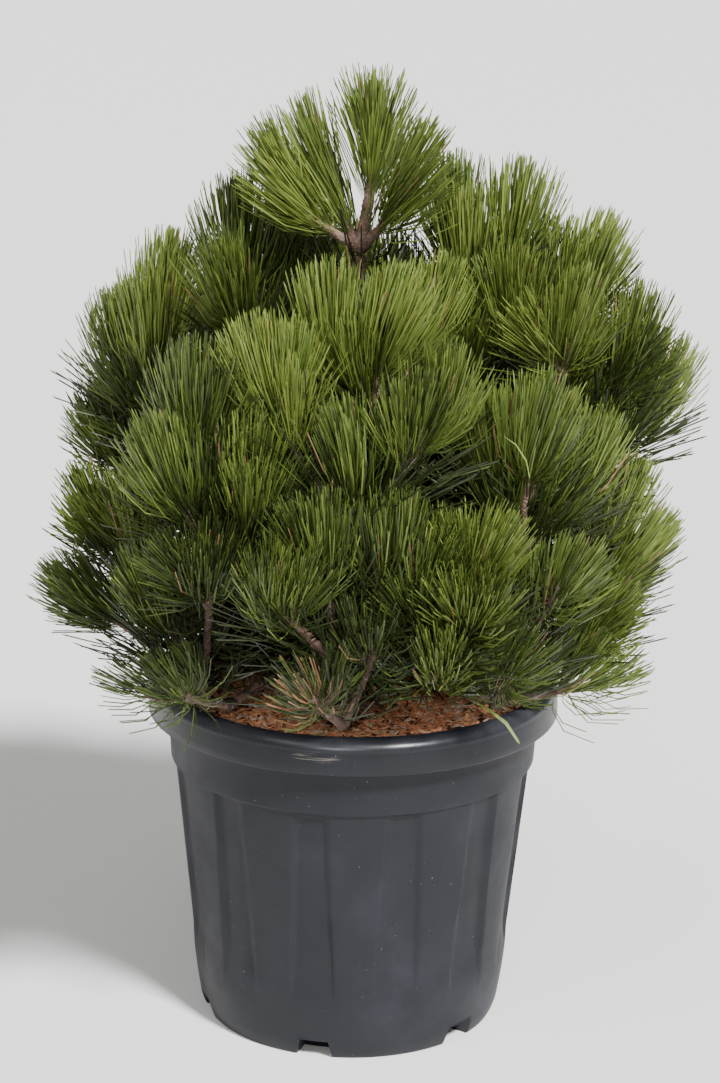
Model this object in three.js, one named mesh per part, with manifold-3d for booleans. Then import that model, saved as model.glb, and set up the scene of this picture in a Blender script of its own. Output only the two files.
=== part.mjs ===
// A compact dwarf pine in a fluted nursery pot: pot, soil, trunk, boughs and masses of needles.
// Millimetres, +Z up. The origin is on the pot's axis at the ground, and the front looks along -Y.

import * as THREE from "three";
import { mergeVertices } from "three/addons/utils/BufferGeometryUtils.js";
import Module from "manifold-3d";

const wasm = await Module();
wasm.setup();

const DEGREE = Math.PI / 180;
const UP = new THREE.Vector3(0, 0, 1);

// What touches in life is kept this far apart
const GAP = 0.3;

// Pot: heights above the ground and radii of the outside, seen from the foot up
const POT_TOP = 353;
const RIM_RADIUS = 205;
const SKIRT_FOOT = 318.5;
const SKIRT_WALL = 3;
const RIM_SHOULDER = 341;
const RIM_CROWN_RADIUS = 197;
const RIM_UNDERSIDE = 345;
const LIP_RADIUS = 184;
const LIP_ROUNDING = 6;
const COLLAR_TOP_RADIUS = 187;
const COLLAR_FOOT = 269;
const COLLAR_FOOT_RADIUS = 182.5;
const BODY_TOP_RADIUS = 178.5;
const WAIST = 86;
const WAIST_RADIUS = 160;
const HEEL = 14;
const HEEL_RADIUS = 152.5;
const FOOT_RADIUS = 146.7;
const POT_WALL = 3.2;
const POT_FLOOR = 23;
const POT_SIDES = 48;

// Flutes: shallow channels with rounded tops, which widen and die out towards the foot
const FLUTES = 12;
const FLUTE_TURN = -73 * DEGREE;
const FLUTE_TOP = 261;
const FLUTE_FOOT = 84;
const FLUTE_TOP_WIDTH = 31;
const FLUTE_FOOT_WIDTH = 40;
const FLUTE_CORNER = 8;
const FLUTE_DEPTH = 4;

// Notches in the pot's foot
const NOTCHES = 6;
const NOTCH_TURN = -103 * DEGREE;
const NOTCH_WIDTH = 34;
const NOTCH_HEIGHT = 19;
const NOTCH_DEPTH = 22;

// Soil, mounded a little towards the trunk
const SOIL_EDGE = 344;
const SOIL_ROUNDING = 6;
const SOIL_TOP = 349;
const SOIL_FLAT_RADIUS = 45;
const SOIL_SLOPE_RADIUS = 108;
const SOIL_SLOPE_HEIGHT = 347.5;
const SOIL_SIDES = 24;

// Trunk: from the soil to the foot of the leading shoots
const TRUNK_TOP = 772;
const TRUNK_FOOT_RADIUS = 18;
const TRUNK_TIP_RADIUS = 6;
const ROOT_FLARE = 11;
const FLARE_HEIGHT = 16;
const ROOT_LOBES = 5;
const LOBE_DEPTH = 0.45;
const TRUNK_LEAN = 9;
const TRUNK_SIDES = 12;
const TRUNK_STEPS = 13;
const SEAT_SAMPLES = 12;

// Boughs
const BOUGH_TIP_RADIUS = 4.6;
const BOUGH_SIDES = 6;
const BOUGH_STEPS = 4;
const BOUGH_SPREAD = 0.026;
const BOUGH_LEVEL = 0.52;

// Shoots: how they stand and climb
const CROWN_REACH = 330;
const CROWN_FOOT = 350;
const CROWN_TOP = 956;
const LEAN_MOST = 74 * DEGREE;
const LEAN_POWER = 2.5;
const SPLAY = 0.5;
const SWAY = 0.1;
const TUFT_RISE = 84;
const SHOOT_CLIMB = 36;
const MASS_SEED = 101;
const SHOOT_SEED = 7;
const FORK_DEPTH = 175;
const LOWEST_WOOD = 368;
const LOWEST_TUFT = 373;
const STEM_LENGTH = 12;
const STEM_SLIMNESS = 0.94;
const TWIG_RADIUS = 3.4;
const TWIG_TIP_RADIUS = 2;
const TWIG_SIDES = 3;
const TWIG_STEPS = 2;

// Needles: a slim core round the shoot's end, with a spike for each sheaf of needles on its faces.
// The core's rings are given by their height along the shoot from its end, and their radius.
const CORE_RINGS = [[-30, 5.5], [-14, 9.5], [2, 8.5]];
const CORE_START = 0.6;
const CORE_TOP = 11;
const CORE_SIDES = 5;
const NEEDLE_LENGTH = 90;
const NEEDLE_SWAY = 0.16;
const TILT_TOP = 10 * DEGREE;
const TILT_FOOT = 46 * DEGREE;
const TILT_SWAY = 5 * DEGREE;
const NEEDLE_LIFT = 0.1;
const NEEDLE_ROOM = 0.8;
const NEEDLE_ROOT_RADIUS = 5;
const CORE_ROOM = 7;
const WOOD_ROOM = 0.8;
const POT_ROOM = 3;

// Each mass of foliage: the height where its bough leaves the trunk, and its shoots' tips.
// The mass named top has no bough, because it grows out of the trunk's own tip.
const FRONT_AND_SIDES = [
  { name: "top", foot: TRUNK_TOP,
    tips: [[6, 0, 953], [-84, -30, 915], [-50, 30, 925], [52, -70, 921]] },
  { name: "upper_left", foot: 590,
    tips: [[-130, 30, 842], [-130, -110, 812], [-80, 130, 806], [-60, 60, 790]] },
  { name: "left_upper", foot: 530, tips: [[-190, 60, 782], [-205, -20, 760], [-252, 20, 728]] },
  { name: "left_mid", foot: 484,
    tips: [[-165, -180, 724], [-190, -240, 668], [-105, -255, 628], [-95, -200, 676]] },
  { name: "left_back", foot: 450, tips: [[-270, 80, 622], [-282, 0, 560], [-225, -80, 570]] },
  { name: "centre", foot: 520, tips: [[-90, -180, 750], [-10, -245, 690], [95, -215, 735]] },
  { name: "centre_up", foot: 560,
    tips: [[-35, -105, 786], [30, -135, 790], [-95, -100, 700], [85, -60, 782]] },
  { name: "right_top", foot: 600,
    tips: [[92, 65, 860], [100, 10, 838], [155, 20, 862], [120, -60, 745]] },
  { name: "right_up", foot: 560,
    tips: [[190, 60, 802], [240, 30, 812], [210, -110, 788], [150, -60, 800]] },
  { name: "right", foot: 514, tips: [[275, -20, 754], [325, 10, 690], [210, -30, 735]] },
  { name: "right_mid", foot: 480, tips: [[180, -195, 702], [240, -130, 654], [130, -150, 680]] },
  { name: "right_low", foot: 454, tips: [[285, -60, 584], [318, -10, 517], [280, -110, 470]] },
  { name: "front_low", foot: 458, tips: [[-30, -270, 607], [-85, -310, 555], [45, -255, 603]] },
  { name: "left_low", foot: 430, tips: [[-140, -295, 566], [-210, -200, 527], [-305, -80, 478]] },
  { name: "front_bottom", foot: 404, tips: [[-52, -304, 447], [20, -290, 500]] },
  { name: "front_right", foot: 431,
    tips: [[88, -290, 486], [80, -270, 580], [140, -265, 590], [130, -300, 541]] },
  { name: "low_right", foot: 392, tips: [[162, -258, 462], [275, -120, 418], [210, -200, 546]] },
  { name: "low_left", foot: 382, tips: [[-240, -200, 415], [-176, -291, 431]] },
];

// The back is finished like the front: these masses grow again there, turned about half round
const AGAIN_AT_THE_BACK = [
  "left_mid", "centre", "centre_up", "right_mid", "front_low", "left_low", "front_bottom",
  "front_right", "low_right", "low_left",
];
const BACK_TURN = 176 * DEGREE;
const BACK_FOOT_RISE = 8;
const BACK_TIP_DROP = 12;

// Colours
const MATERIALS = {
  pot: { color: 0x34363a, roughness: 0.5, metalness: 0 },
  soil: { color: 0x7a4026, roughness: 0.95, metalness: 0 },
  bark: { color: 0x6e5b50, roughness: 0.9, metalness: 0 },
  needles: { color: 0x4b6b2c, roughness: 0.6, metalness: 0 },
};

// A repeatable run of numbers from 0 to 1
function seeded(seed) {
  let state = seed >>> 0;
  return () => {
    state = (state + 0x6d2b79f5) >>> 0;
    let mixed = Math.imul(state ^ (state >>> 15), state | 1);
    mixed ^= mixed + Math.imul(mixed ^ (mixed >>> 7), mixed | 61);
    return ((mixed ^ (mixed >>> 14)) >>> 0) / 4294967296;
  };
}

const vector = (x, y, z) => new THREE.Vector3(x, y, z);
const clamp01 = (value) => THREE.MathUtils.clamp(value, 0, 1);

// Solids
function toSolid(geometry) {
  geometry.deleteAttribute("normal");
  geometry.deleteAttribute("uv");
  const merged = mergeVertices(geometry);
  const vertProperties = new Float32Array(merged.attributes.position.array);
  const triVerts = new Uint32Array(merged.index.array);
  return new wasm.Manifold(new wasm.Mesh({ numProp: 3, vertProperties, triVerts }));
}

function toGeometry(solid) {
  const mesh = solid.getMesh();
  const geometry = new THREE.BufferGeometry();
  geometry.setAttribute("position", new THREE.BufferAttribute(mesh.vertProperties, 3));
  geometry.setIndex(new THREE.BufferAttribute(mesh.triVerts, 1));
  return geometry;
}

// The largest skin of a solid, so that a hollow sealed by joining is filled and a loose scrap dropped
function wholePiece(solid) {
  const skins = solid.decompose();
  return skins.reduce((largest, skin) => (skin.volume() > largest.volume() ? skin : largest));
}

// A closed skin over rings of points, with a point at each end
function loft(start, rings, end) {
  const sides = rings[0].length;
  const points = [start, ...rings.flat(), end];
  const last = points.length - 1;
  const at = (ring, side) => 1 + ring * sides + (side % sides);
  const faces = [];
  for (let side = 0; side < sides; side += 1) {
    faces.push(0, at(0, side + 1), at(0, side));
    for (let ring = 0; ring < rings.length - 1; ring += 1) {
      faces.push(at(ring, side), at(ring, side + 1), at(ring + 1, side + 1));
      faces.push(at(ring, side), at(ring + 1, side + 1), at(ring + 1, side));
    }
    faces.push(last, at(rings.length - 1, side), at(rings.length - 1, side + 1));
  }
  const geometry = new THREE.BufferGeometry().setFromPoints(points);
  geometry.setIndex(faces);
  return geometry;
}

// A tapering limb along a curve, with a flat cut at each end
function limb(curve, radiusAt, sides, steps) {
  const frames = curve.computeFrenetFrames(steps, false);
  const rings = [];
  for (let step = 0; step <= steps; step += 1) {
    const along = step / steps;
    const ring = [];
    for (let side = 0; side < sides; side += 1) {
      const turn = (2 * Math.PI * side) / sides;
      const radius = radiusAt(along, turn);
      const point = curve.getPoint(along);
      point.addScaledVector(frames.normals[step], radius * Math.cos(turn));
      point.addScaledVector(frames.binormals[step], radius * Math.sin(turn));
      ring.push(point);
    }
    rings.push(ring);
  }
  return loft(curve.getPoint(0), rings, curve.getPoint(1));
}

// Pot: the inside of its wall leaves a sound wall behind the flutes
function insideRadius(height) {
  const behindFlutes = BODY_TOP_RADIUS - FLUTE_DEPTH - POT_WALL;
  const [low, high, lowRadius, highRadius] = height < COLLAR_FOOT
    ? [POT_FLOOR, COLLAR_FOOT, HEEL_RADIUS - POT_WALL, behindFlutes]
    : [COLLAR_FOOT, POT_TOP - LIP_ROUNDING, behindFlutes, LIP_RADIUS];
  return THREE.MathUtils.mapLinear(height, low, high, lowRadius, highRadius);
}

function potProfile() {
  const skirtInside = RIM_RADIUS - SKIRT_WALL;
  return [
    [0, 0], [FOOT_RADIUS, 0], [HEEL_RADIUS, HEEL], [WAIST_RADIUS, WAIST],
    [BODY_TOP_RADIUS, COLLAR_FOOT], [COLLAR_FOOT_RADIUS, COLLAR_FOOT + 1],
    [COLLAR_TOP_RADIUS, RIM_SHOULDER], [RIM_CROWN_RADIUS, RIM_UNDERSIDE], [skirtInside, SKIRT_FOOT],
    [RIM_RADIUS, SKIRT_FOOT], [RIM_RADIUS - 1, RIM_SHOULDER], [RIM_CROWN_RADIUS, POT_TOP - 1],
    [LIP_RADIUS + LIP_ROUNDING, POT_TOP], [LIP_RADIUS, POT_TOP - LIP_ROUNDING],
    [insideRadius(COLLAR_FOOT), COLLAR_FOOT], [insideRadius(POT_FLOOR), POT_FLOOR], [0, POT_FLOOR],
  ].map(([radius, height]) => new THREE.Vector2(radius, height));
}

function lathed(profile, sides) {
  const geometry = new THREE.LatheGeometry(profile, sides);
  geometry.rotateX(Math.PI / 2);
  return geometry;
}

function fluteCutter() {
  const height = FLUTE_TOP - FLUTE_FOOT;
  const top = FLUTE_TOP_WIDTH / 2;
  const foot = FLUTE_FOOT_WIDTH / 2;
  const outline = new THREE.Shape();
  outline.moveTo(-foot, 0);
  outline.lineTo(foot, 0);
  outline.lineTo(top, height - FLUTE_CORNER);
  outline.quadraticCurveTo(top, height, top - FLUTE_CORNER, height);
  outline.lineTo(FLUTE_CORNER - top, height);
  outline.quadraticCurveTo(-top, height, -top, height - FLUTE_CORNER);
  const cutter = new THREE.ExtrudeGeometry(outline, {
    depth: 5 * FLUTE_DEPTH, bevelEnabled: false, curveSegments: 2,
  });
  const slope = Math.atan2(BODY_TOP_RADIUS - FLUTE_DEPTH - WAIST_RADIUS, COLLAR_FOOT - WAIST);
  cutter.rotateX(Math.PI / 2 + slope);
  cutter.translate(0, -WAIST_RADIUS, FLUTE_FOOT);
  return cutter;
}

function potGeometry() {
  let pot = toSolid(lathed(potProfile(), POT_SIDES).rotateZ(FLUTE_TURN));
  for (let flute = 0; flute < FLUTES; flute += 1) {
    const turn = FLUTE_TURN + (2 * Math.PI * flute) / FLUTES + Math.PI / 2;
    pot = pot.subtract(toSolid(fluteCutter().rotateZ(turn)));
  }
  for (let notch = 0; notch < NOTCHES; notch += 1) {
    const box = new THREE.BoxGeometry(2 * NOTCH_DEPTH, NOTCH_WIDTH, 2 * NOTCH_HEIGHT);
    box.translate(FOOT_RADIUS, 0, 0);
    box.rotateZ(NOTCH_TURN + (2 * Math.PI * notch) / NOTCHES);
    pot = pot.subtract(toSolid(box));
  }
  return toGeometry(pot);
}

// Soil: it fills the pot up to a rounded edge just under the lip
function soilGeometry() {
  const shoulder = SOIL_EDGE - SOIL_ROUNDING;
  const profile = [
    [0, POT_FLOOR + GAP], [insideRadius(POT_FLOOR) - 2 * GAP, POT_FLOOR + GAP],
    [insideRadius(COLLAR_FOOT) - 2 * GAP, COLLAR_FOOT],
    [insideRadius(shoulder) - 2 * GAP, shoulder],
    [insideRadius(shoulder) - SOIL_ROUNDING, SOIL_EDGE],
    [SOIL_SLOPE_RADIUS, SOIL_SLOPE_HEIGHT], [SOIL_FLAT_RADIUS, SOIL_TOP], [0, SOIL_TOP],
  ].map(([radius, height]) => new THREE.Vector2(radius, height));
  return lathed(profile, SOIL_SIDES).rotateZ(FLUTE_TURN);
}

// Trunk
class TrunkCurve extends THREE.Curve {
  getPoint(along) {
    const lean = (1 + Math.cos(Math.PI * along)) / 2;
    const height = THREE.MathUtils.lerp(SOIL_TOP + GAP, TRUNK_TOP, along);
    return vector(-TRUNK_LEAN * lean, TRUNK_LEAN / 2 * lean, height);
  }
}
const trunkCurve = new TrunkCurve();

function trunkRadius(along, turn) {
  const climbed = along * (TRUNK_TOP - SOIL_TOP);
  const flare = ROOT_FLARE * Math.exp(-climbed / FLARE_HEIGHT);
  const lobes = 1 + LOBE_DEPTH * Math.cos(ROOT_LOBES * turn);
  return THREE.MathUtils.lerp(TRUNK_FOOT_RADIUS, TRUNK_TIP_RADIUS, along) + flare * lobes;
}

const trunkRings = Array.from({ length: TRUNK_STEPS + 1 }, (_, ring) => {
  const along = ring / TRUNK_STEPS;
  return Array.from({ length: TRUNK_SIDES }, (__, side) => {
    const turn = (2 * Math.PI * side) / TRUNK_SIDES;
    const way = vector(Math.cos(turn), Math.sin(turn), 0);
    return trunkCurve.getPoint(along).addScaledVector(way, trunkRadius(along, turn));
  });
});

const alongTrunk = (height) => clamp01((height - SOIL_TOP - GAP) / (TRUNK_TOP - SOIL_TOP - GAP));

// How far the trunk's skin reaches along a level way, anywhere between two heights
function trunkReach(way, low, high) {
  let reach = 0;
  for (let sample = 0; sample <= SEAT_SAMPLES; sample += 1) {
    const height = THREE.MathUtils.lerp(low, high, sample / SEAT_SAMPLES);
    const place = TRUNK_STEPS * alongTrunk(height);
    const ring = Math.floor(place);
    for (let side = 0; side < TRUNK_SIDES; side += 1) {
      const point = trunkRings[ring][side].clone().lerp(trunkRings[ring + 1][side], place - ring);
      reach = Math.max(reach, point.dot(way));
    }
  }
  return reach;
}

// Masses, with the place of each shoot. The lower and the further out, the more a shoot leans.
function wayAt(point) {
  const reach = Math.hypot(point.x, point.y);
  const climb = clamp01((point.z - CROWN_FOOT) / (CROWN_TOP - CROWN_FOOT));
  const lean = LEAN_MOST * Math.min(1, reach / CROWN_REACH) ** LEAN_POWER * (1 - climb);
  return vector(0, 0, 1).applyAxisAngle(vector(0, 1, 0), lean)
    .applyAxisAngle(UP, Math.atan2(point.y, point.x));
}

function shootFor(tip, fork, random) {
  const fromFork = tip.clone().sub(fork).normalize();
  const way = wayAt(tip).lerp(fromFork, SPLAY);
  way.x += SWAY * (2 * random() - 1);
  way.y += SWAY * (2 * random() - 1);
  way.normalize();
  const end = tip.clone().addScaledVector(way, -TUFT_RISE);
  const bend = end.clone().addScaledVector(way, -SHOOT_CLIMB);
  end.z = Math.max(end.z, LOWEST_TUFT);
  bend.z = Math.max(bend.z, LOWEST_WOOD);
  return { end, bend, random };
}

function forkOf(row, tips) {
  if (row.name === "top") return vector(0, 0, TRUNK_TOP);
  const middle = vector(0, 0, 0);
  tips.forEach((tip) => middle.addScaledVector(tip, 1 / tips.length));
  const fork = middle.clone().addScaledVector(wayAt(middle), -FORK_DEPTH);
  fork.z = Math.max(fork.z, LOWEST_WOOD);
  return fork;
}

function plan(row, index) {
  const tips = row.tips.map((tip) => vector(...tip));
  const fork = forkOf(row, tips);
  const seedOf = (order) => MASS_SEED * (index + 1) + SHOOT_SEED * order;
  const shoots = tips.map((tip, order) => shootFor(tip, fork, seeded(seedOf(order))));
  return { name: row.name, foot: row.foot, fork, shoots };
}

function turnedToTheBack(row) {
  const tips = row.tips.map(([x, y, z]) => {
    const tip = vector(x, y, z - BACK_TIP_DROP).applyAxisAngle(UP, BACK_TURN);
    return [tip.x, tip.y, tip.z];
  });
  return { name: `back_${row.name}`, foot: row.foot + BACK_FOOT_RISE, tips };
}

const backRows = AGAIN_AT_THE_BACK.map((name) => turnedToTheBack(
  FRONT_AND_SIDES.find((row) => row.name === name),
));
const masses = [...FRONT_AND_SIDES, ...backRows].map(plan);

// Boughs: each leaves the trunk level, and curves up to the fork of its mass
function addBough(mass) {
  if (mass.name === "top") {
    mass.stemWay = trunkCurve.getTangent(1);
    mass.stemRadius = TRUNK_TIP_RADIUS;
    return;
  }
  const heart = trunkCurve.getPoint(alongTrunk(mass.foot));
  const outward = vector(mass.fork.x - heart.x, mass.fork.y - heart.y, 0);
  const reach = outward.length();
  outward.normalize();
  mass.boughFootRadius = BOUGH_TIP_RADIUS + BOUGH_SPREAD * reach;
  const [low, high] = [mass.foot - mass.boughFootRadius, mass.foot + mass.boughFootRadius];
  const seat = trunkReach(outward, low, high) - heart.dot(outward);
  const start = heart.clone().addScaledVector(outward, seat + GAP);
  const bend = start.clone().addScaledVector(outward, BOUGH_LEVEL * reach);
  mass.bough = new THREE.QuadraticBezierCurve3(start, bend, mass.fork);
  mass.stemWay = mass.bough.getTangent(1);
  mass.stemRadius = BOUGH_TIP_RADIUS;
}
masses.forEach(addBough);

const boughRadius = (mass) => (along) => THREE.MathUtils.lerp(
  mass.boughFootRadius, BOUGH_TIP_RADIUS, along,
);

// Twigs run from the end of the stem to the end of each shoot
function addTwigs(mass) {
  mass.stemFoot = mass.fork.clone().addScaledVector(mass.stemWay, GAP);
  mass.stemEnd = mass.stemFoot.clone().addScaledVector(mass.stemWay, STEM_LENGTH);
  mass.shoots.forEach((shoot) => {
    shoot.curve = new THREE.QuadraticBezierCurve3(mass.stemEnd, shoot.bend, shoot.end);
  });
}
masses.forEach(addTwigs);

const twigRadius = (along) => THREE.MathUtils.lerp(TWIG_RADIUS, TWIG_TIP_RADIUS, along);

// Room is checked with tapering rods: each stands for a stretch of limb or twig, a core or a needle
function rodsAlong(curve, radiusAt, steps) {
  const rods = [];
  for (let step = 0; step < steps; step += 1) {
    const from = step / steps;
    const to = (step + 1) / steps;
    rods.push({
      a: curve.getPoint(from), b: curve.getPoint(to), ra: radiusAt(from, 0), rb: radiusAt(to, 0),
    });
  }
  return rods;
}

// The clear distance between two rods
function clearance(first, second) {
  const u = first.b.clone().sub(first.a);
  const v = second.b.clone().sub(second.a);
  const w = first.a.clone().sub(second.a);
  const uu = u.dot(u);
  const uv = u.dot(v);
  const vv = v.dot(v);
  const uw = u.dot(w);
  const vw = v.dot(w);
  const spread = uu * vv - uv * uv;
  const guess = spread > 1e-9 ? clamp01((uv * vw - vv * uw) / spread) : 0.5;
  const t = clamp01((uv * guess + vw) / vv);
  const s = clamp01((uv * t - uw) / uu);
  const between = w.clone().addScaledVector(u, s).addScaledVector(v, -t).length();
  const firstRadius = THREE.MathUtils.lerp(first.ra, first.rb, s);
  return between - firstRadius - THREE.MathUtils.lerp(second.ra, second.rb, t);
}

const limbRods = rodsAlong(trunkCurve, trunkRadius, TRUNK_STEPS);
masses.filter((mass) => mass.bough).forEach((mass) => {
  limbRods.push(...rodsAlong(mass.bough, boughRadius(mass), BOUGH_STEPS));
});

function clearOfPot(rod) {
  for (let along = 0.2; along <= 1; along += 0.1) {
    if (rod.a.clone().lerp(rod.b, along).z < POT_TOP + POT_ROOM) return false;
  }
  return true;
}

// Shoots of one mass may stand closer together than those of two masses, but never touch either
function clearOfShoot(rod, mass, other) {
  const wood = other.mass === mass ? [other.core] : other.wood;
  const room = other.mass === mass ? NEEDLE_ROOM : CORE_ROOM;
  return wood.every((otherRod) => clearance(rod, otherRod) > room)
    && other.needles.every((otherRod) => clearance(rod, otherRod) > NEEDLE_ROOM);
}

function hasRoom(rod, shoot) {
  return clearOfPot(rod)
    && limbRods.every((other) => clearance(rod, other) > NEEDLE_ROOM)
    && shoots.every((other) => other === shoot || clearOfShoot(rod, shoot.mass, other));
}

// A shoot is left out where its wood would touch a limb, or wood already there in another mass
function woodHasRoom(wood, mass) {
  const others = shoots.filter((other) => other.mass !== mass).flatMap((other) => other.wood);
  return wood.every((rod) => [...limbRods, ...others].every(
    (other) => clearance(rod, other) > WOOD_ROOM,
  ));
}

// A tuft: its core's corners, and a sheaf of needles on each face of the core above the lowest
function coreFrame(shoot) {
  const way = shoot.curve.getTangent(1);
  const side = vector(way.z, 0, -way.x).normalize().applyAxisAngle(way, 2 * Math.PI * shoot.random());
  return { way, side, other: way.clone().cross(side) };
}

function coreRod(shoot) {
  const way = shoot.curve.getTangent(1);
  const radius = CORE_RINGS[1][1];
  return {
    a: shoot.end.clone().addScaledVector(way, CORE_RINGS[0][0]),
    b: shoot.end.clone().addScaledVector(way, CORE_TOP), ra: radius, rb: radius,
  };
}

function coreFaces(shoot, frame) {
  const onWay = (height) => shoot.end.clone().addScaledVector(frame.way, height);
  const rings = CORE_RINGS.map(([height, radius], ring) => (
    Array.from({ length: CORE_SIDES + 1 }, (_, index) => {
      const turn = (2 * Math.PI * ((index % CORE_SIDES) + ring / 2)) / CORE_SIDES;
      return onWay(height).addScaledVector(frame.side, radius * Math.cos(turn))
        .addScaledVector(frame.other, radius * Math.sin(turn));
    })
  ));
  const foot = shoot.curve.getPoint(CORE_START);
  const faces = [];
  for (let index = 0; index < CORE_SIDES; index += 1) {
    faces.push({ corners: [foot, rings[0][index + 1], rings[0][index]], level: -1 });
    for (let ring = 0; ring < rings.length - 1; ring += 1) {
      const [low, high] = [rings[ring], rings[ring + 1]];
      faces.push({ corners: [low[index], low[index + 1], high[index]], level: ring });
      faces.push({ corners: [low[index + 1], high[index + 1], high[index]], level: ring + 0.5 });
    }
    const top = rings[rings.length - 1];
    faces.push({ corners: [top[index], top[index + 1], onWay(CORE_TOP)], level: rings.length - 1 });
  }
  return faces;
}

function needleRod(shoot, frame, face) {
  const root = vector(0, 0, 0);
  face.corners.forEach((corner) => root.addScaledVector(corner, 1 / 3));
  const highness = face.level / (CORE_RINGS.length - 1);
  const tilt = THREE.MathUtils.lerp(TILT_FOOT, TILT_TOP, highness)
    + TILT_SWAY * (2 * shoot.random() - 1);
  const fromWay = root.clone().sub(shoot.end).projectOnPlane(frame.way).normalize();
  const needleWay = frame.way.clone().multiplyScalar(Math.cos(tilt))
    .addScaledVector(fromWay, Math.sin(tilt));
  needleWay.z += NEEDLE_LIFT;
  const length = NEEDLE_LENGTH * (1 - NEEDLE_SWAY * shoot.random());
  const tip = root.clone().addScaledVector(needleWay.normalize(), length);
  return { a: root, b: tip, ra: NEEDLE_ROOT_RADIUS, rb: 0 };
}

function tuftGeometry(shoot) {
  const frame = coreFrame(shoot);
  const triangles = [];
  coreFaces(shoot, frame).forEach((face) => {
    const [a, b, c] = face.corners;
    const rod = face.level < 0 ? null : needleRod(shoot, frame, face);
    if (rod && hasRoom(rod, shoot)) {
      shoot.needles.push(rod);
      triangles.push(a, b, rod.b, b, c, rod.b, c, a, rod.b);
    } else {
      triangles.push(a, b, c);
    }
  });
  return new THREE.BufferGeometry().setFromPoints(triangles);
}

// Masses
const shoots = [];
masses.forEach((mass) => mass.shoots.forEach((shoot) => {
  const core = coreRod(shoot);
  const wood = [...rodsAlong(shoot.curve, twigRadius, TWIG_STEPS), core];
  if (woodHasRoom(wood, mass)) {
    shoots.push(Object.assign(shoot, { mass, core, wood, needles: [] }));
  }
}));

function massGeometry(mass) {
  const stemCurve = new THREE.LineCurve3(mass.stemFoot, mass.stemEnd);
  const stem = limb(stemCurve, () => STEM_SLIMNESS * mass.stemRadius, BOUGH_SIDES, 1);
  const grown = shoots.filter((shoot) => shoot.mass === mass);
  const pieces = grown.flatMap((shoot) => [
    limb(shoot.curve, twigRadius, TWIG_SIDES, TWIG_STEPS), tuftGeometry(shoot),
  ]);
  const joined = pieces.map(toSolid).reduce((whole, piece) => whole.add(piece), toSolid(stem));
  return toGeometry(wholePiece(joined));
}

// The plant
const group = new THREE.Group();

function addPart(name, geometry, look) {
  const mesh = new THREE.Mesh(geometry, new THREE.MeshStandardMaterial(MATERIALS[look]));
  mesh.name = name;
  group.add(mesh);
}

addPart("pot", potGeometry(), "pot");
addPart("soil", soilGeometry(), "soil");
addPart("trunk", loft(trunkCurve.getPoint(0), trunkRings, trunkCurve.getPoint(1)), "bark");
masses.filter((mass) => mass.bough).forEach((mass) => {
  addPart(`bough_${mass.name}`, limb(mass.bough, boughRadius(mass), BOUGH_SIDES, BOUGH_STEPS), "bark");
});
masses.forEach((mass) => addPart(`needles_${mass.name}`, massGeometry(mass), "needles"));

export default group;
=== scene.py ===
# A compact dwarf pine in a fluted nursery pot: bark, needles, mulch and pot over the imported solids.
# Metres, +Z up. The origin is on the pot's axis at the ground, and the front looks along -Y.

import math

import bpy
import numpy as np
from mathutils import Euler, Matrix, Vector


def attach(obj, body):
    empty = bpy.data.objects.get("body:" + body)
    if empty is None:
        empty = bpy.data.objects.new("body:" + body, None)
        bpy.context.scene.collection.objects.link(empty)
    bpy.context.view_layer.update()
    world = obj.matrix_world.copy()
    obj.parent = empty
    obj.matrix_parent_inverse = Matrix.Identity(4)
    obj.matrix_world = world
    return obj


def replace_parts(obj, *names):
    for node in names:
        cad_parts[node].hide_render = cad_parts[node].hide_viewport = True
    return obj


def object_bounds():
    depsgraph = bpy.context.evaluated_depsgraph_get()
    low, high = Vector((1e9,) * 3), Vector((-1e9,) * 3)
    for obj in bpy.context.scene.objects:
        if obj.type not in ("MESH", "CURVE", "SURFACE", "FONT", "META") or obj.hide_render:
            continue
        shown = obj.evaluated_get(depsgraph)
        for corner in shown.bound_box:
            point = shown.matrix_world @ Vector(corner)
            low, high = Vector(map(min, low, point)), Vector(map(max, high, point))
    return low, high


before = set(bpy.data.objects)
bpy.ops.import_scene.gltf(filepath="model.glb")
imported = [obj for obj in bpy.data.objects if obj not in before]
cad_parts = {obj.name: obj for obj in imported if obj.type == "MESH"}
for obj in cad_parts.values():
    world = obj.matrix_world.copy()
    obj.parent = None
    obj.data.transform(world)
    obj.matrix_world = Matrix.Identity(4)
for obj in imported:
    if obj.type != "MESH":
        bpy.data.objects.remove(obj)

cad_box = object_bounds()

MM = 0.001
UP = np.array((0.0, 0.0, 1.0))
GOLDEN_TURN = math.radians(137.508)

# Uneven patterns: how many waves make one, how much they differ and how high they add up
RIPPLE_WAVES = 7
RIPPLE_SPREAD = (0.7, 1.4)
RIPPLE_PEAK = 1.4

# Ways that nothing grows along. Turns round a curve are measured from them.
TUBE_ASIDE = (0.3, 0.9, 0.1)
SIDE_ASIDE = (0.2, 0.3, 0.9)
NEEDLE_ASIDE = (0.31, 0.22, 0.93)

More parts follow.
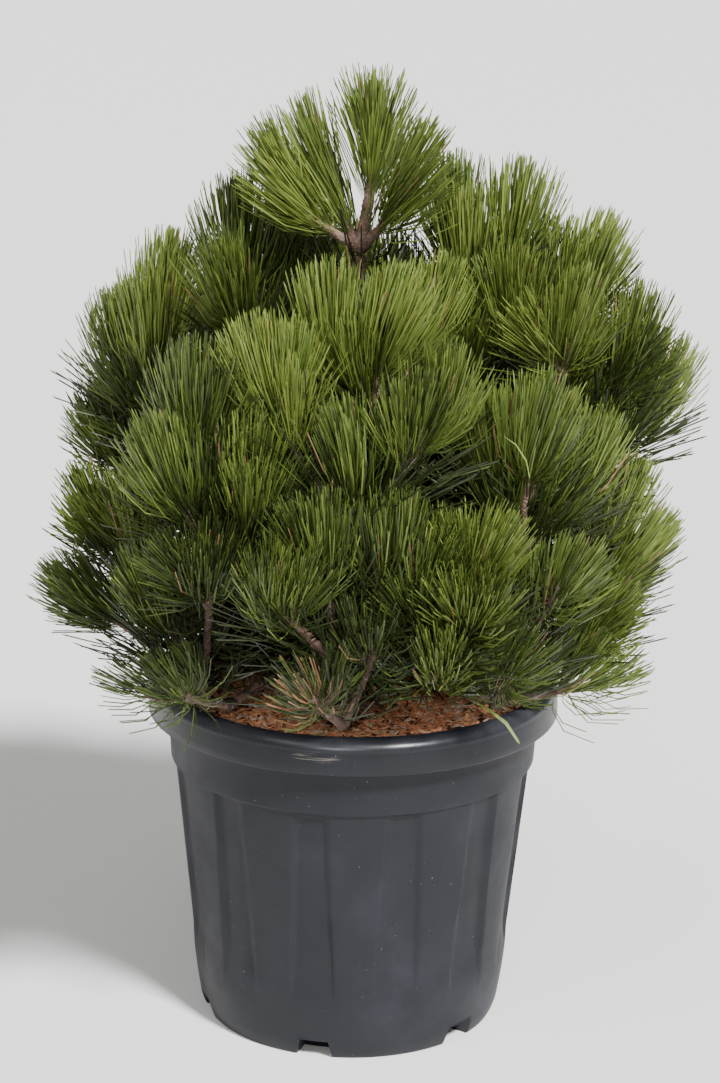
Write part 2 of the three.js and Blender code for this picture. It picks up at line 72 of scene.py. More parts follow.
# Pot, as in the solids: heights above the ground and radii of the outside
POT_TOP = 0.353
RIM_RADIUS = 0.205
SKIRT_FOOT = 0.3185
RIM_SHOULDER = 0.341
RIM_WALL = 0.0028
RIM_ROUNDING = 0.0125
LIP_RADIUS = 0.184
LIP_ROUNDING = 0.0055
ROUNDING_INSET = 0.001
COLLAR_TOP_RADIUS = 0.187
COLLAR_FOOT = 0.269
COLLAR_FOOT_RADIUS = 0.1825
BODY_TOP_RADIUS = 0.1785
WAIST = 0.086
WAIST_RADIUS = 0.160
HEEL = 0.014
HEEL_RADIUS = 0.1525
FOOT_RADIUS = 0.1467
FLUTES = 12
FLUTE_TURN = math.radians(-73)
FLUTE_DEPTH = 0.0044
FLUTE_TOP_WIDTH = 0.030
FLUTE_FOOT_WIDTH = 0.042
FLUTE_SHOULDER = 0.0020
FLUTE_FADE = (0.050, 0.110)
LEDGE_ROUNDING = 0.0011
COLLAR_DIP = 0.0052
DIP_REACH = 0.02
NOTCHES = 6
NOTCH_TURN = math.radians(-103)
NOTCH_WIDTH = 0.036
NOTCH_HEIGHT = 0.019
NOTCH_TAPER = 0.2
NOTCH_DEPTH = 0.022
NOTCH_EDGE = 0.0008
NOTCH_CLEAR = 0.006
POT_COLUMNS = 360
PINHOLE = 0.001
FOOT_CHAMFER = 0.0008
FOOT_HEIGHTS = (0.0, 0.0008, 0.003, 0.006, 0.009, 0.012, HEEL, 0.0165, NOTCH_HEIGHT)
WALL_RINGS = (0.023, 0.24, 43)
LEDGE_RINGS = (0.2425, COLLAR_FOOT, 12)
GLOSSY_FROM = (0.30, 0.33)
SCUFF_PLACE = (-0.034, -0.202, 0.336)
SCUFF_SIZE = (0.026, 0.02, 0.0058)

# Soil: level in its middle, lower at its edge
SOIL_EDGE = 0.344
SOIL_TOP = 0.349
SOIL_RADIUS = 0.1815
SOIL_LEVEL = 0.03
SOIL_SINK = 0.001
SOIL_RINGS = 60
SOIL_COLUMNS = 120
# How high its bumps are, how broad, and their seeds
SOIL_BUMPS = ((0.0012, 0.014, 9), (0.0008, 0.005, 10))

# Mulch: each kind's colour, how many shreds, their length, width and thickness, and their seed
MULCH = [
    ("mulch_chips", (0.86, 0.44, 0.24), 900, (0.020, 0.008, 0.0016), 31),
    ("mulch_pale", (0.92, 0.70, 0.52), 620, (0.018, 0.006, 0.0012), 32),
    ("mulch_shreds", (0.82, 0.36, 0.18), 1800, (0.030, 0.0022, 0.0009), 33),
]
SHRED_LENGTHS = (0.35, 1.0)
SHRED_WIDTHS = (0.3, 1.0)
SHRED_CORNERS = (0.55, 1.15)
SHRED_TILT = 0.28
SHRED_ROLL = 0.25
SHRED_PILE = 0.0035
SHRED_AREA = (0.02, 0.985)
SHRED_OVER = 0.002

# Trunk and boughs, as in the solids
TRUNK_TOP = 0.772
TRUNK_FOOT_RADIUS = 0.018
TRUNK_TIP_RADIUS = 0.006
ROOT_FLARE = 0.011
FLARE_HEIGHT = 0.016
ROOT_LOBES = 5
LOBE_DEPTH = 0.45
TRUNK_LEAN = 0.009
TRUNK_SINK = 0.004
TRUNK_RINGS = 170
TRUNK_SIDES = 40
TRUNK_SEED = 5
BOUGH_TIP_RADIUS = 0.0046
BOUGH_SPREAD = 0.026
BOUGH_LEVEL = 0.52
BOUGH_COLLAR = 0.30
BOUGH_COLLAR_FADE = 14
BOUGH_RINGS = 46
BOUGH_SIDES = 14
BOUGH_SEED = 40

# Shoots, as in the solids: how they stand and climb
CROWN_REACH = 0.330
CROWN_FOOT = 0.350
CROWN_TOP = 0.956
LEAN_MOST = math.radians(74)
LEAN_POWER = 2.5
SPLAY = 0.5
SWAY = 0.1
TUFT_RISE = 0.084
SHOOT_CLIMB = 0.036
MASS_SEED = 101
SHOOT_SEED = 7
FORK_DEPTH = 0.175
LOWEST_WOOD = 0.368
LOWEST_TUFT = 0.373
STEM_LENGTH = 0.0123
TWIG_RADIUS = 0.0044
TWIG_TIP_RADIUS = 0.0034
KNOT_SWELL = 0.55
KNOT_REACH = 0.007
TWIG_END = 0.45
TWIG_SIDES = 8
TWIG_RINGS = 38
TWIG_SEED = 1000

# Each mass of foliage, as in the solids: the height where its bough leaves the trunk, and the
# tips of its shoots, in millimetres
FRONT_AND_SIDES = [
    ("top", 772, [(6, 0, 953), (-84, -30, 915), (-50, 30, 925), (52, -70, 921)]),
    ("upper_left", 590, [(-130, 30, 842), (-130, -110, 812), (-80, 130, 806), (-60, 60, 790)]),
    ("left_upper", 530, [(-190, 60, 782), (-205, -20, 760), (-252, 20, 728)]),
    ("left_mid", 484, [(-165, -180, 724), (-190, -240, 668), (-105, -255, 628), (-95, -200, 676)]),
    ("left_back", 450, [(-270, 80, 622), (-282, 0, 560), (-225, -80, 570)]),
    ("centre", 520, [(-90, -180, 750), (-10, -245, 690), (95, -215, 735)]),
    ("centre_up", 560, [(-35, -105, 786), (30, -135, 790), (-95, -100, 700), (85, -60, 782)]),
    ("right_top", 600, [(92, 65, 860), (100, 10, 838), (155, 20, 862), (120, -60, 745)]),
    ("right_up", 560, [(190, 60, 802), (240, 30, 812), (210, -110, 788), (150, -60, 800)]),
    ("right", 514, [(275, -20, 754), (325, 10, 690), (210, -30, 735)]),
    ("right_mid", 480, [(180, -195, 702), (240, -130, 654), (130, -150, 680)]),
    ("right_low", 454, [(285, -60, 584), (318, -10, 517), (280, -110, 470)]),
    ("front_low", 458, [(-30, -270, 607), (-85, -310, 555), (45, -255, 603)]),
    ("left_low", 430, [(-140, -295, 566), (-210, -200, 527), (-305, -80, 478)]),
    ("front_bottom", 404, [(-52, -304, 447), (20, -290, 500)]),
    ("front_right", 431, [(88, -290, 486), (80, -270, 580), (140, -265, 590), (130, -300, 541)]),
    ("low_right", 392, [(162, -258, 462), (275, -120, 418), (210, -200, 546)]),
    ("low_left", 382, [(-240, -200, 415), (-176, -291, 431)]),
]
AGAIN_AT_THE_BACK = [
    "left_mid", "centre", "centre_up", "right_mid", "front_low", "left_low", "front_bottom",
    "front_right", "low_right", "low_left",
]
BACK_TURN = math.radians(176)
BACK_FOOT_RISE = 0.008
BACK_TIP_DROP = 0.012

# Side shoots: how many grow from each shoot of a mass, and how
FEWER_SIDE_SHOOTS = {"top": 0, "right_top": 0, "right_up": 1, "upper_left": 1}
SIDE_DEPTHS = (0.050, 0.078)
SIDE_LENGTH = 0.034
SIDE_OPENING = math.radians(48)
SIDE_RADIUS = 0.0026
SIDE_NEEDLES = 0.88
SIDE_LENGTHS = (0.85, 1.15)
SIDE_TURN_SWAY = 0.3
SIDE_DROP = -0.2
SIDE_BEND = 0.55
SIDE_CLIMB = 0.6
SIDE_SIDES = 6
SIDE_RINGS = 14
SIDE_SEED = 500

# Needles: each is a slim blade of a few stretches, which bends towards its shoot and the light as
# it goes. Turns are shares of its tilt, lifts say how far each stretch is drawn upwards, and widths
# are shares of its own width where two stretches meet.
CURVED = {
    "stretches": (0.22, 0.32, 0.42, 0.04), "turns": (1.30, 0.90, 0.54, 0.46),
    "lifts": (0.0, 0.11, 0.27, 0.32), "widths": (0.9, 1.0, 0.85),
}
PLAIN = {
    "stretches": (0.36, 0.59, 0.05), "turns": (1.05, 0.58, 0.50),
    "lifts": (0.0, 0.12, 0.18), "widths": (1.0, 0.85),
}
STRAIGHT = {
    "stretches": (0.30, 0.33, 0.33, 0.04), "turns": (0.92, 1.0, 1.0, 0.9),
    "lifts": (0.0, 0.0, 0.02, 0.04), "widths": (0.9, 1.0, 0.85),
}
ARCHED = {
    "stretches": (0.3, 0.35, 0.3, 0.05), "turns": (1.0, 0.0, -1.0, -1.0),
    "lifts": (0.0, 0.0, 0.0, 0.0), "widths": (0.8, 1.0, 0.7),
}
NEEDLE_LENGTH = 0.093
NEEDLE_WIDTH = 0.00138
LENGTH_SWAY = (0.84, 1.08)
WIDTH_SWAY = (0.85, 1.15)
TURN_SWAY = 0.35
WOBBLE = 0.05
BEND_SWAY = 0.22
DRIFT = 0.55
FULLNESS = (0.86, 1.12)
OPENNESS = (0.82, 1.20)
NEEDLE_SINK = 0.002
PAIR_SPREAD = math.radians(5.5)
PAIR_SPREADS = (0.4, 1.2)
TUFT_PAIRS = 132
TOP_PAIRS = 165
SIDE_PAIRS = 58
TUFT_ZONE = 0.056
LOWER_LONGER = 1.06
TOP_SHORTER = 0.20
TILT_CLOSING = 1.35
TILT_FOOT = math.radians(29.5)
TILT_TOP = math.radians(5)
TILT_SWAY = math.radians(8)
OLD_PAIRS = 42
OLD_LENGTH = 0.090
OLD_WIDTH = 0.0019
OLD_ZONE = (0.05, 0.6)
OLD_SEED = 2000
BOUGH_PAIRS = 150
BOUGH_ZONE = (0.22, 1.0)
TRUNK_PAIRS = 40
TRUNK_NEEDLES_FROM = 0.690
TRUNK_NEEDLES_SEED = 3000
OLD_TILT = math.radians(58)
OLD_TILT_SWAY = math.radians(16)
# Old needles on the shoots are dealt far darker tints: partly the duller green of older needles, partly
# painted shade inside the plant
OLD_SHADE_DROP = 0.9

# Shoots that differ. Low ones are shorter and sparser, spread wide like stars, and stand in shade.
# Each row has their share of needles and of length, the tilt of the lowest needles and the shade.
OTHER_SHOOTS = {
    "low_left": (0.42, 0.74, math.radians(78), 0.30),
    "front_bottom": (0.50, 0.78, math.radians(80), 0.24),
    "low_right": (0.75, 0.88, math.radians(60), 0.12),
    "right_top": (0.80, 1.0, math.radians(31), 0.0),
    "right_up": (0.90, 1.0, math.radians(32), 0.0),
}
AS_USUAL = (1.0, 1.0, TILT_FOOT, 0.0)
# Masses whose twigs take a darker bark: painted shade under the foliage above them
SHADED_WOOD = ("low_left", "front_bottom", "low_right", "left_low")
# The leader and the shoots beside it: radius, zone of needles, tilt of the lowest and their form
LEADER = (0.0068, 0.064, math.radians(21), STRAIGHT)
BESIDE_LEADER = (0.0052, 0.074, math.radians(24), CURVED)
LENGTH_BELOW = 0.82
REACH_KEPT = 0.9
LENGTH_HEIGHTS = (0.50, 0.74)
POT_CLEARANCE = 0.004
HANG_HEIGHT = 0.366
OLD_HANG_HEIGHT = 0.386
HANG_SLOPE = 0.3
STRAY_EACH = 3

# Tints: how light falls on a shoot by its place, painted as lighter or darker needles, how much shoots
# and needles differ, how much darker side shoots are dealt as painted shade, and one needle in how many
# is dead: of the old ones, of a tuft and of the dying shoot
LIGHT_CLIMB = 0.72
LIGHT_MIDDLE = 0.62
LIGHT_TO_RIGHT = 0.15
LIGHT_TO_SIDES = 0.5
SHOOT_JITTER = 0.12
# Side shoots are dealt darker tints: painted shade
SIDE_SHADE = 0.12
TINT_JITTER = 0.22
TINT_SEED = 77
DEAD_EACH = 60
TUFT_DEAD_EACH = 75
DYING_SHOOT = ("front_bottom", 0)
DYING_EACH = 3

# Two loose fresh blades that hang from the front right: root, tip and width
LOOSE_BLADES = [
    ((0.107, -0.199, 0.396), (0.158, -0.222, 0.359), 0.0038),
    ((0.130, -0.262, 0.668), (0.158, -0.270, 0.629), 0.0014),
]
LOOSE_RISE = 0.006
LOOSE_SEED = 5

# Colours: bark, soil, pot, and needles from shaded to sunlit
BARK = (0.190, 0.120, 0.085)
TWIG_BARK = (0.25, 0.158, 0.115)
# Darker bark of the low twigs: painted shade
SHADED_BARK = (0.105, 0.068, 0.050)
BARK_SCALE = 260
TWIG_SCALE = 420
POTTING_MIX = (0.22, 0.098, 0.052)
CHARCOAL = (0.0105, 0.0115, 0.0155)
# Paler grey of the rim's top: painted reflection of the bright light above
RIM_REFLECTION_GREY = (0.055, 0.058, 0.072)
DUST = (0.20, 0.19, 0.17)
SCRATCHED = (0.035, 0.036, 0.038)
SCUFFED = (0.15, 0.135, 0.115)
# Needle tints are painted light and shade: one needle colour made darker or lighter, dealt to each spray
# by how light falls on it
NEEDLE_TINTS = [
    ("needles_shade", (0.022, 0.032, 0.007)),
    ("needles_deep", (0.042, 0.060, 0.012)),
    ("needles_green", (0.066, 0.099, 0.016)),
    ("needles_leaf", (0.088, 0.132, 0.020)),
    ("needles_bright", (0.113, 0.160, 0.026)),
    ("needles_sunlit", (0.164, 0.206, 0.036)),
]
# Old needles on boughs and trunk: the duller green of older needles, darkened further as painted shade
# inside the plant
OLD_AND_SHADE_TINT = ("needles_old_shaded", (0.014, 0.019, 0.005))
DEAD_TINT = ("needles_dead", (0.250, 0.135, 0.072))
LOOSE_TINT = ("needles_loose", (0.150, 0.215, 0.040))

# Stage. Suns have a turn from the front, a height, a power and a spread. Angles are in degrees.
FLOOR_REACH = 30
FLOOR_COLOUR = (0.93, 0.925, 0.915)
SKY_COLOUR = (1.0, 0.99, 0.97)
SKY_STRENGTH = 0.20
SUNS = [
    ("key", -34, 46, 7.7, 10),
    ("fill", 38, 55, 0.9, 40),
    ("front", 8, 24, 0.8, 14),
]

# Camera, at the place from which the plant was photographed
CAMERA_PLACE = (0.0043, -2.964, 1.372)
CAMERA_PITCH = math.radians(16.59)
CAMERA_ROLL = math.radians(0.9)
CAMERA_LENS = 103.98
CAMERA_SENSOR = 36


# Numbers and patterns
def seeded(seed):
    """The same run of numbers from 0 to 1 as the solids' source makes."""
    mask = 0xFFFFFFFF
    state = seed & mask

    def draw():
        nonlocal state
        state = (state + 0x6D2B79F5) & mask
        mixed = ((state ^ (state >> 15)) * (state | 1)) & mask
        mixed ^= (mixed + (((mixed ^ (mixed >> 7)) * (mixed | 61)) & mask)) & mask
        return ((mixed ^ (mixed >> 14)) & mask) / 4294967296

    return draw


def unit(vectors):
    return vectors / np.linalg.norm(vectors, axis=-1, keepdims=True)


def smooth(low, high, value):
    share = np.clip((value - low) / (high - low), 0, 1)
    return share * share * (3 - 2 * share)


def ripple(points, size, seed):
    """A smooth uneven pattern from about -1 to 1 in space, with bumps of about that size."""
    random = np.random.default_rng(seed)
    ways = unit(random.normal(size=(RIPPLE_WAVES, 3)))
    ways = ways * random.uniform(*RIPPLE_SPREAD, (RIPPLE_WAVES, 1))
    phases = random.uniform(0, math.tau, RIPPLE_WAVES)
    waves = np.sin(points @ ways.T * (math.tau / size) + phases)
    return waves.sum(axis=-1) / math.sqrt(RIPPLE_WAVES) / RIPPLE_PEAK


# Objects and meshes
def new_object(name, data):
    made = bpy.data.objects.new(name, data)
    bpy.context.scene.collection.objects.link(made)
    return made


def mesh_piece(name, vertices, faces, material, slot, smooth_faces=True):
    mesh = bpy.data.meshes.new(name)
    mesh.from_pydata(vertices.tolist(), [], faces.tolist())
    mesh.polygons.foreach_set("use_smooth", [smooth_faces] * len(mesh.polygons))
    mesh.update()
    piece = new_object(name, mesh)
    mesh.materials.append(material)
    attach(piece, "root")
    return piece


def join(parts):
    """One list of vertices and one of faces from several."""
    vertices = []
    faces = []
    count = 0
    for part_vertices, part_faces in parts:
        vertices.append(part_vertices)
        faces.append(part_faces + count)
        count += len(part_vertices)
    return np.concatenate(vertices), np.concatenate(faces)


def frames_along(path):
    """Tangents and two side ways along a path, with no twist."""
    tangents = unit(np.gradient(path, axis=0))
    side = np.cross(tangents[0], TUBE_ASIDE)
    sides = []
    for tangent in tangents:
        side = side - tangent * side.dot(tangent)
        side /= np.linalg.norm(side)
        sides.append(side)
    sides = np.array(sides)
    return tangents, sides, np.cross(tangents, sides)


def ring_faces(rings, columns):
    """Rows of four-sided faces, each row between two rings of vertices."""
    column = np.arange(columns)
    after = (column + 1) % columns
    row = np.stack((column, after, after + columns, column + columns), axis=1)
    return row + columns * np.arange(rings - 1)[:, None, None]


def tube(path, radii, sides, relief=None):
    """A closed tube along a path. relief(points, lengths, turns) gives how far the skin stands out."""
    tangents, firsts, seconds = frames_along(path)
    turns = np.linspace(0, math.tau, sides, endpoint=False)
    cosines = np.cos(turns)[None, :, None]
    sines = np.sin(turns)[None, :, None]
    outs = firsts[:, None] * cosines + seconds[:, None] * sines
    skin = path[:, None] + outs * radii[:, None, None]
    if relief is not None:
        steps = np.linalg.norm(np.diff(path, axis=0), axis=1)
        lengths = np.concatenate(([0], np.cumsum(steps)))
        skin += outs * relief(skin, lengths[:, None], turns[None, :])[..., None]
    vertices = np.concatenate((skin.reshape(-1, 3), path[:1], path[-1:]))
    wall = ring_faces(len(path), sides)
    wall = np.concatenate((wall[..., [0, 1, 2]], wall[..., [0, 2, 3]]), axis=1).reshape(-1, 3)
    side = np.arange(sides)
    after = (side + 1) % sides
    foot = len(path) * sides
    last = foot - sides
    foot_faces = np.stack((np.full(sides, foot), after, side), axis=1)
    tip_faces = np.stack((np.full(sides, foot + 1), last + side, last + after), axis=1)
    return vertices, np.concatenate((wall, foot_faces, tip_faces))


def bezier(start, bend, end, shares):
    shares = np.asarray(shares)[:, None]
    return (1 - shares) ** 2 * start + 2 * shares * (1 - shares) * bend + shares ** 2 * end


def round_axis(radii, turns, heights):
    """Points at these radii, turns and heights round the pot's axis."""
    return np.stack((radii * np.cos(turns), radii * np.sin(turns), heights), axis=-1)


# The plan of the plant, by the solids' rule
def way_at(point):
    reach = math.hypot(point[0], point[1])
    climb = min(1, max(0, (point[2] - CROWN_FOOT) / (CROWN_TOP - CROWN_FOOT)))
    lean = LEAN_MOST * min(1, reach / CROWN_REACH) ** LEAN_POWER * (1 - climb)
    turn = math.atan2(point[1], point[0])
    return np.array((math.sin(lean) * math.cos(turn), math.sin(lean) * math.sin(turn), math.cos(lean)))


def shoot_for(tip, fork, random):
    way = (1 - SPLAY) * way_at(tip) + SPLAY * unit(tip - fork)
    way[0] += SWAY * (2 * random() - 1)
    way[1] += SWAY * (2 * random() - 1)
    way = unit(way)
    end = tip - TUFT_RISE * way
    bend = end - SHOOT_CLIMB * way
    end[2] = max(end[2], LOWEST_TUFT)
    bend[2] = max(bend[2], LOWEST_WOOD)
    return {"tip": tip, "end": end, "bend": bend}


def fork_of(name, tips):
    if name == "top":
        return np.array((0, 0, TRUNK_TOP))
    middle = np.mean(tips, axis=0)
    fork = middle - FORK_DEPTH * way_at(middle)
    fork[2] = max(fork[2], LOWEST_WOOD)
    return fork


def trunk_share(height):
    return min(1, max(0, (height - SOIL_TOP) / (TRUNK_TOP - SOIL_TOP)))


def trunk_heart(height):
    lean = (1 + math.cos(math.pi * trunk_share(height))) / 2
    return np.array((-TRUNK_LEAN * lean, TRUNK_LEAN / 2 * lean, height))


def trunk_radius(height):
    share = trunk_share(height)
    flare = ROOT_FLARE * math.exp(-share * (TRUNK_TOP - SOIL_TOP) / FLARE_HEIGHT)
    return TRUNK_FOOT_RADIUS + (TRUNK_TIP_RADIUS - TRUNK_FOOT_RADIUS) * share + flare


def bough_for(mass):
    heart = trunk_heart(mass["foot"])
    outward = mass["fork"] - heart
    outward[2] = 0
    reach = np.linalg.norm(outward)
    outward /= reach
    start = heart + outward * trunk_radius(mass["foot"])
    bend = start + outward * BOUGH_LEVEL * reach
    mass["heart"] = heart
    mass["bough"] = (start, bend, mass["fork"])
    mass["bough_radius"] = BOUGH_TIP_RADIUS + BOUGH_SPREAD * reach
    mass["stem_way"] = unit(mass["fork"] - bend)


def plan_masses():
    rows = [(name, foot * MM, [np.array(tip) * MM for tip in tips])
            for name, foot, tips in FRONT_AND_SIDES]
    turn = np.array(Matrix.Rotation(BACK_TURN, 3, "Z"))
    for name in AGAIN_AT_THE_BACK:
        _, foot, tips = next(row for row in rows if row[0] == name)
        back_tips = [turn @ (tip - BACK_TIP_DROP * UP) for tip in tips]
        rows.append((f"back_{name}", foot + BACK_FOOT_RISE, back_tips))
    masses = []
    for index, (name, foot, tips) in enumerate(rows):
        fork = fork_of(name, tips)
        shoots = [shoot_for(tip, fork, seeded(MASS_SEED * (index + 1) + SHOOT_SEED * order))
                  for order, tip in enumerate(tips)]
        mass = {"name": name, "foot": foot, "fork": fork, "shoots": shoots, "index": index}
        if name == "top":
            mass["stem_way"] = UP
        else:
            bough_for(mass)
        mass["stem_end"] = fork + STEM_LENGTH * mass["stem_way"]
        masses.append(mass)
    return masses


# Bark
def scaly(depth, pitch, around, seed):
    """Raised diamonds in crossing spirals, as leaf cushions leave them, broken up unevenly."""
    def relief(points, lengths, turns):
        rise = lengths / pitch
        spiral = turns / math.tau
        first = np.abs(np.sin(math.pi * (rise + around * spiral)))
        second = np.abs(np.sin(math.pi * (rise - (around - 3) * spiral)))
        rough = ripple(points, 2.2 * pitch, seed) + 0.6 * ripple(points, 0.8 * pitch, seed + 1)
        return depth * (first * second - 0.4 + 0.5 * rough)
    return relief


def plated(depth, size, seed):
    """Longer flat plates with furrows between them, as on an older stem."""
    def relief(points, lengths, turns):
        rise = points * (1, 1, 0.45)
        broad = ripple(rise, size, seed)
        fine = ripple(rise, 0.35 * size, seed + 1)
        return depth * (np.tanh(2.5 * broad) + 0.35 * fine)
    return relief


def trunk_parts():
    heights = np.linspace(SOIL_TOP - TRUNK_SINK, TRUNK_TOP + TRUNK_SINK, TRUNK_RINGS)
    path = np.array([trunk_heart(height) for height in heights])
    radii = np.array([trunk_radius(height) for height in heights])
    plates = plated(depth=0.0009, size=0.022, seed=TRUNK_SEED)

    def relief(points, lengths, turns):
        over_soil = np.maximum(points[..., 2] - SOIL_TOP, 0)
        flare = ROOT_FLARE * np.exp(-over_soil / FLARE_HEIGHT)
        lobes = LOBE_DEPTH * np.cos(ROOT_LOBES * turns)
        return flare * lobes + plates(points, lengths, turns)

    return tube(path, radii, TRUNK_SIDES, relief)


def bough_parts(mass):
    shares = np.linspace(0, 1, BOUGH_RINGS)
    path = bezier(*mass["bough"], shares)
    radii = mass["bough_radius"] + (BOUGH_TIP_RADIUS - mass["bough_radius"]) * shares
    radii = radii * (1 + BOUGH_COLLAR * np.exp(-shares * BOUGH_COLLAR_FADE))
    path = np.concatenate(([mass["heart"]], path, [mass["stem_end"]]))
    radii = np.concatenate((radii[:1], radii, radii[-1:]))
    scales = scaly(depth=0.0008, pitch=0.009, around=8, seed=BOUGH_SEED + mass["index"])
    return tube(path, radii, BOUGH_SIDES, scales)


def twig_parts(curve, foot_radius, tip_radius, sides, rings, seed):
    shares = np.linspace(0, 1, rings)
    path = bezier(*curve, shares)
    radii = foot_radius + (tip_radius - foot_radius) * shares
    radii *= 1 + KNOT_SWELL * np.exp(-shares * curve_length(curve) / KNOT_REACH)
    radii[-1] *= TWIG_END
    return tube(path, radii, sides, scaly(depth=0.0011, pitch=0.0062, around=8, seed=seed))


# Shoots
def side_shoots(mass, curve, random):
    """Finer twigs from the sides of a shoot, which bend up beside it."""
    count = FEWER_SIDE_SHOOTS.get(mass["name"].removeprefix("back_"), len(SIDE_DEPTHS))
    reach = curve_length(curve)
    found = []
    turn = random.uniform(0, math.tau)
    for depth in SIDE_DEPTHS[:count]:
        share = max(0.1, 1 - depth / reach)
        foot, ahead = bezier(*curve, [share, share + 0.05])
        along = unit(ahead - foot)
        first = unit(np.cross(along, SIDE_ASIDE))
        second = np.cross(along, first)
        turn += GOLDEN_TURN + random.uniform(-SIDE_TURN_SWAY, SIDE_TURN_SWAY)
        out = first * math.cos(turn) + second * math.sin(turn)
        if out[2] < SIDE_DROP:
            out = -out
        way = along * math.cos(SIDE_OPENING) + out * math.sin(SIDE_OPENING)
        length = SIDE_LENGTH * random.uniform(*SIDE_LENGTHS)
        bend = foot + way * SIDE_BEND * length
        end = bend + unit(0.4 * way + 0.6 * way_at(bend)) * SIDE_CLIMB * length
        end[2] = max(end[2], LOWEST_TUFT)
        found.append((foot, bend, end))
    return found


def curve_length(curve):
    return np.linalg.norm(np.diff(bezier(*curve, np.linspace(0, 1, 17)), axis=0), axis=1).sum()


# Needles
def blades(roots, axes, outs, tilts, lengths, widths, random, shape):
    """Needles as slim closed blades: a root, rings of three corners, a tip."""
    count = len(roots)
    points = [roots]
    sides = np.cross(axes, outs)
    faces = []
    bends = 1 + BEND_SWAY * random.normal(size=(count, 1))
    pull = UP + DRIFT * random.normal(size=3) * (1, 1, 0)
    for stretch, turned, lift in zip(shape["stretches"], shape["turns"], shape["lifts"]):
        tilt = tilts[:, None] * turned
        way = axes * np.cos(tilt) + outs * np.sin(tilt) + pull * lift * bends
        way = unit(way + WOBBLE * random.normal(size=(count, 3)))
        points.append(points[-1] + way * lengths[:, None] * stretch)
        faces.append(unit(np.cross(way, sides)))
    rings = len(shape["widths"])
    vertices = np.empty((count, 3 * rings + 2, 3))
    vertices[:, 0] = roots
    vertices[:, -1] = points[-1]
    half = 0.5 * widths[:, None]
    rolls = random.uniform(0, math.tau, (count, 1))
    for ring, share in enumerate(shape["widths"]):
        for corner in range(3):
            turn = rolls + math.tau * corner / 3
            offset = sides * np.cos(turn) + faces[ring] * np.sin(turn)
            vertices[:, 1 + 3 * ring + corner] = points[ring + 1] + offset * half * share
    return vertices


def blade_faces(rings):
    faces = [(0, 2, 1), (0, 3, 2), (0, 1, 3)]
    for low in range(1, 3 * rings - 2, 3):
        for corner in range(3):
            after = (corner + 1) % 3
            faces.append((low + corner, low + after, low + 3 + after))
            faces.append((low + corner, low + 3 + after, low + 3 + corner))
    tip = 3 * rings + 1
    faces += [(tip - 3, tip - 2, tip), (tip - 2, tip - 1, tip), (tip - 1, tip - 3, tip)]
    return np.array(faces)


def in_pairs(values, random):
    """Each value twice, set a little apart."""
    apart = np.tile((-1, 1), len(values)) * PAIR_SPREAD
    return np.repeat(values, 2) + apart * random.uniform(*PAIR_SPREADS, 2 * len(values))


def needles_along(curve, shares, tilts, lengths, random, shape, width=NEEDLE_WIDTH):
    """Pairs of needles set round a curve in a spiral, at these shares of its length."""
    shares = np.clip(shares, 0, 1)
    feet = bezier(*curve, shares)
    start, bend, end = curve
    ways = unit(2 * (1 - shares[:, None]) * (bend - start) + 2 * shares[:, None] * (end - bend))
    firsts = unit(np.cross(ways, NEEDLE_ASIDE))
    seconds = np.cross(ways, firsts)
    turns = GOLDEN_TURN * np.arange(len(shares)) + random.uniform(-TURN_SWAY, TURN_SWAY, len(shares))
    turns = in_pairs(turns, random)
    tilts = in_pairs(tilts, random)
    feet, ways, firsts, seconds = (np.repeat(each, 2, axis=0) for each in (feet, ways, firsts, seconds))
    outs = firsts * np.cos(turns)[:, None] + seconds * np.sin(turns)[:, None]
    lengths = np.repeat(lengths, 2) * random.uniform(*LENGTH_SWAY, len(turns))
    widths = width * random.uniform(*WIDTH_SWAY, len(turns))
    roots = feet + outs * NEEDLE_SINK
    return blades(roots, ways, outs, tilts, lengths, widths, random, shape)


def tuft(curve, pairs, length, random, zone=TUFT_ZONE, tilt_foot=TILT_FOOT, shape=PLAIN):
    """The needles of one shoot. Some are a little fuller or more open than others."""
    pairs = int(pairs * random.uniform(*FULLNESS))
    tilt_foot = tilt_foot * random.uniform(*OPENNESS)
    heights = np.sort(random.uniform(0, 1, pairs))
    shares = 1 - (1 - heights) * min(1, zone / curve_length(curve))
    tilts = tilt_foot + (TILT_TOP - tilt_foot) * heights ** TILT_CLOSING
    tilts = tilts + TILT_SWAY * random.normal(size=pairs)
    lengths = length * (LOWER_LONGER - TOP_SHORTER * heights ** 2)
    return needles_along(curve, shares, tilts, lengths, random, shape)


def old_needles(curve, pairs, zone, random):
    """Older needles, which stand wider apart and further back along the wood."""
    shares = np.sort(random.uniform(*zone, pairs))
    tilts = OLD_TILT + OLD_TILT_SWAY * random.normal(size=pairs)
    lengths = np.full(pairs, OLD_LENGTH)
    return needles_along(curve, shares, tilts, lengths, random, PLAIN, OLD_WIDTH)


def with_room(found, old=False):
    """The needles that stay out of the pot and in the plant's box, and don't hang low. A few of the
    hanging ones stay too, but no old ones, for which the limit is higher."""
    low, high = (np.array(corner) for corner in cad_box)
    tips = found[:, -1]
    inside = ((tips > low) & (tips < high)).all(axis=1)
    reach = np.hypot(found[..., 0], found[..., 1])
    sunk = (found[..., 2] < POT_TOP + POT_CLEARANCE) & (reach < RIM_RADIUS + POT_CLEARANCE)
    inside &= ~sunk.any(axis=1)
    reach = np.hypot(tips[:, 0], tips[:, 1])
    lowest = OLD_HANG_HEIGHT if old else HANG_HEIGHT
    hanging = tips[:, 2] < lowest + HANG_SLOPE * np.maximum(0, reach - RIM_RADIUS)
    if not old:
        hanging &= np.arange(len(tips)) % STRAY_EACH != 0
    return found[inside & ~hanging]


def picked_out(found, each):
    """One needle in this many, and the others."""
    picked = np.arange(len(found)) % each == 0
    return found[picked], found[~picked]


